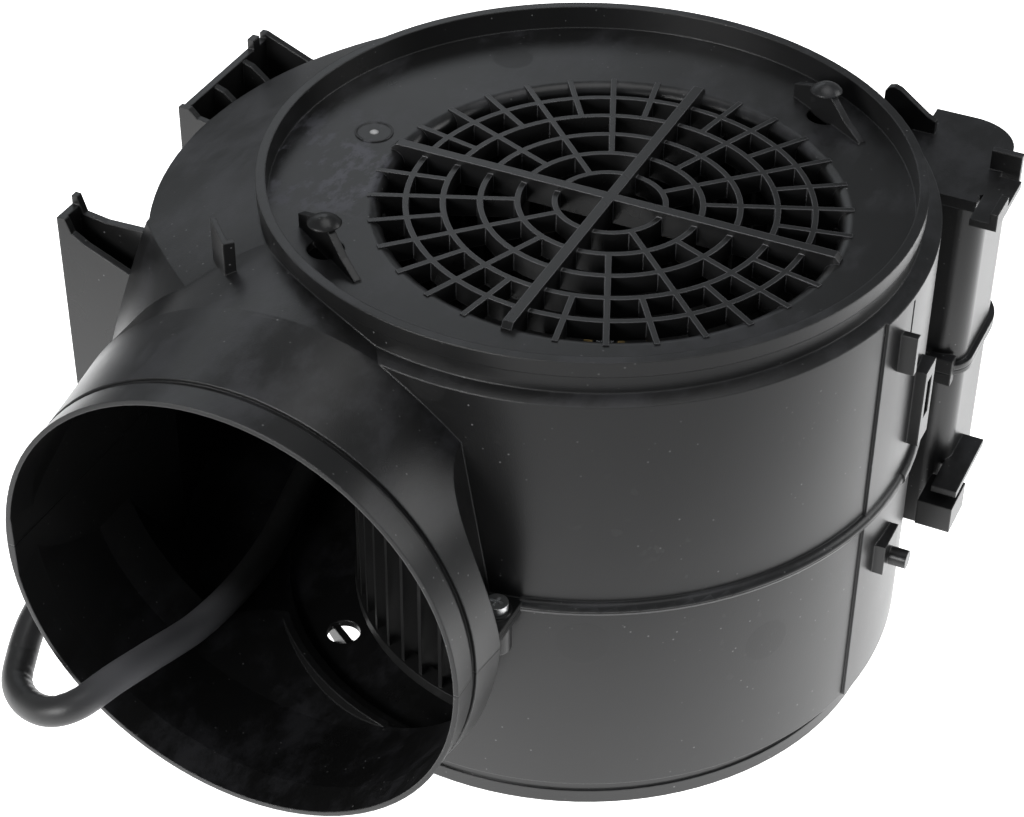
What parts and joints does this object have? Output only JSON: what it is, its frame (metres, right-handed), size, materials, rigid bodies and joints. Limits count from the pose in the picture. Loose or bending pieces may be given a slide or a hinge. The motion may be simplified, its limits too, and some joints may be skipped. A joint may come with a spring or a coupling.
{
  "type": "range hood motor",
  "caption": "Black centrifugal blower for a range hood: split scroll housing with a round outlet duct, guarded inlet collars and an enclosed motor that spins a bladed drum impeller.",
  "frame": {"origin": "centre of the lower filter collar, in the plane of its crest on which the blower stands", "axes": "+Z from the lower collar to the upper one, along the shaft; -Y out of the outlet; +X towards the electronics box"},
  "size_m": [0.268, 0.2909, 0.1769],
  "materials": {
    "housing_plastic": "satin black moulded plastic",
    "impeller_plastic": "matt black moulded plastic",
    "zinc_steel": "zinc plated",
    "brass": "turned",
    "shaft_steel": "ground",
    "lamination_steel": "stacked sheet",
    "cast_aluminium": "die cast",
    "winding_copper": "enamelled copper",
    "insulator_plastic": "moulded",
    "washer_fibre": "pressed fibre",
    "rubber": "matt",
    "capacitor_case": "moulded can",
    "nylon": "natural nylon",
    "sleeve_pvc": "soft black sleeve"
  },
  "bodies": {
    "housing": {"upper_housing": "housing_plastic", "lower_housing": "housing_plastic", "upper_inlet_guard": "housing_plastic", "lower_motor_spider": "housing_plastic", "seam_screws": "zinc_steel", "stator_core": "lamination_steel", "slot_insulators": "insulator_plastic", "stator_windings": "winding_copper", "upper_end_shield": "cast_aluminium", "lower_end_shield": "cast_aluminium", "upper_bearing": "brass", "lower_bearing": "brass", "motor_bolts": "zinc_steel", "motor_nuts": "zinc_steel", "rubber_mounts": "rubber", "mount_screws": "zinc_steel", "run_capacitor": "capacitor_case", "terminal_block": "nylon", "cable_grommet": "rubber", "lead_sleeve": "sleeve_pvc", "lead_connector": "nylon"},
    "rotor": {"impeller": "impeller_plastic", "hub_bush": "brass", "hub_nut": "brass", "motor_shaft": "shaft_steel", "rotor_core": "lamination_steel", "rotor_cage": "cast_aluminium", "thrust_washers": "washer_fibre"}
  },
  "joints": [
    {"name": "rotor_spin", "type": "hinge", "parent": "housing", "child": "rotor", "pos_m": [0.0092, -0.0063, 0.0865], "axis": [0, 0, 1], "continuous": true}
  ]
}
